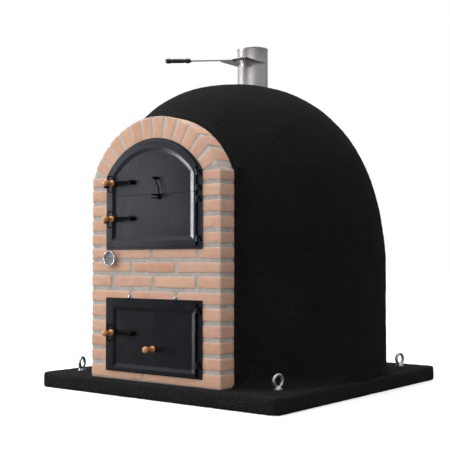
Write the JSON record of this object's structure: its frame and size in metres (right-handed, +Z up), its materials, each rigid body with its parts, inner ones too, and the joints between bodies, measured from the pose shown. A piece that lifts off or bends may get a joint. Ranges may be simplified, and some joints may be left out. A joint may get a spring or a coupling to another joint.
{
  "type": "wood fired pizza oven",
  "caption": "Domed masonry pizza oven on a square slab, with an arched brick front, a split stable door over a lower firewood door, and a flue with a sliding damper.",
  "frame": {"origin": "centre of the base slab's flat underside", "axes": "+Z up, -Y out of the front where the doors are, +X to the right of someone facing the doors"},
  "size_m": [1.344, 1.4048, 1.626],
  "materials": {
    "black_render": "coarse matt black render",
    "firebrick": "salmon fired brick with grey mortar",
    "refractory": "pale refractory concrete",
    "insulation": "pale ceramic fibre blanket and loose fill",
    "black_steel": "satin blue-black heat proof paint on steel sheet",
    "black_iron": "black oxide ironmongery",
    "turned_wood": "oiled turned beech",
    "stainless": "brushed stainless tube and sheet",
    "galvanised": "bright zinc plated drop forging",
    "chrome": "bright chrome",
    "dial_white": "printed dial",
    "clear_glass": "flat clear glass",
    "black_handle": "ringed black phenolic grip"
  },
  "bodies": {
    "oven": {"base_slab": "black_render", "lifting_eye_front_right": "galvanised", "lifting_eye_front_left": "galvanised", "lifting_eye_back_right": "galvanised", "lifting_eye_back_left": "galvanised", "chamber_wall": "refractory", "hearth_support": "refractory", "hearth_floor": "refractory", "oven_vault": "refractory", "dome_insulation": "insulation", "dome_render": "black_render", "facade_sill": "firebrick", "facade_lower_pier_left": "firebrick", "facade_lower_pier_right": "firebrick", "facade_middle_wall": "firebrick", "facade_upper_pier_left": "firebrick", "facade_upper_pier_right": "firebrick", "facade_arch": "firebrick", "upper_frame": "black_steel", "lower_frame": "black_steel", "upper_leaf_hinge_top_pin": "black_iron", "upper_leaf_hinge_base_pin": "black_iron", "lower_leaf_hinge_top_pin": "black_iron", "lower_leaf_hinge_base_pin": "black_iron", "lower_door_hinge_top_pin": "black_iron", "lower_door_hinge_base_pin": "black_iron", "upper_leaf_latch_catch": "black_iron", "lower_leaf_latch_catch": "black_iron", "lower_door_latch_catch": "black_iron", "frame_fixing_left": "black_iron", "frame_fixing_right": "black_iron", "thermometer_case": "chrome", "thermometer_dial": "dial_white", "thermometer_glass": "clear_glass", "flue_pipe": "stainless"},
    "upper_leaf": {"upper_leaf": "black_steel", "upper_leaf_latch_bolt": "black_iron", "upper_leaf_latch_staple": "black_iron", "coupling_pivot_stud": "black_iron"},
    "lower_leaf": {"lower_leaf": "black_steel", "lower_leaf_latch_bolt": "black_iron", "lower_leaf_latch_staple": "black_iron", "coupling_peg": "black_iron"},
    "lower_door": {"lower_door": "black_steel", "lower_door_latch_bolt": "black_iron", "lower_door_latch_staple": "black_iron", "lower_door_pull_knob": "turned_wood"},
    "upper_leaf_latch": {"upper_leaf_latch_lever": "black_iron", "upper_leaf_latch_knob": "turned_wood"},
    "lower_leaf_latch": {"lower_leaf_latch_lever": "black_iron", "lower_leaf_latch_knob": "turned_wood"},
    "lower_door_latch": {"lower_door_latch_lever": "black_iron", "lower_door_latch_knob": "turned_wood"},
    "coupling_hook": {"coupling_hook": "black_iron"},
    "damper": {"damper_plate": "stainless", "damper_rod": "stainless", "damper_handle": "black_handle"},
    "needle": {"thermometer_needle": "black_iron"}
  },
  "joints": [
    {"name": "upper_leaf_swing", "type": "hinge", "parent": "oven", "child": "upper_leaf", "pos_m": [0.2555, -0.6575, 0.916], "axis": [0, 0, 1], "range_deg": [0, 110]},
    {"name": "lower_leaf_swing", "type": "hinge", "parent": "oven", "child": "lower_leaf", "pos_m": [0.2555, -0.6575, 0.757], "axis": [0, 0, 1], "range_deg": [0, 110]},
    {"name": "lower_door_swing", "type": "hinge", "parent": "oven", "child": "lower_door", "pos_m": [0.256, -0.6575, 0.27], "axis": [0, 0, 1], "range_deg": [0, 110]},
    {"name": "upper_leaf_latch_lift", "type": "hinge", "parent": "upper_leaf", "child": "upper_leaf_latch", "pos_m": [-0.113, -0.663, 0.926], "axis": [0, 1, 0], "range_deg": [0, 7]},
    {"name": "lower_leaf_latch_lift", "type": "hinge", "parent": "lower_leaf", "child": "lower_leaf_latch", "pos_m": [-0.113, -0.663, 0.769], "axis": [0, 1, 0], "range_deg": [0, 7]},
    {"name": "lower_door_latch_lift", "type": "hinge", "parent": "lower_door", "child": "lower_door_latch", "pos_m": [-0.113, -0.663, 0.272], "axis": [0, 1, 0], "range_deg": [0, 7]},
    {"name": "coupling_hook_swing", "type": "hinge", "parent": "upper_leaf", "child": "coupling_hook", "pos_m": [0.026, -0.667, 0.937], "axis": [0, -1, 0], "range_deg": [0, 75]},
    {"name": "damper_slide", "type": "slide", "parent": "oven", "child": "damper", "axis": [0, -1, 0], "range_m": [0, 0.14]},
    {"name": "needle_turn", "type": "hinge", "parent": "oven", "child": "needle", "pos_m": [-0.243, -0.6608, 0.596], "axis": [0, 1, 0], "range_deg": [0, 270]}
  ]
}
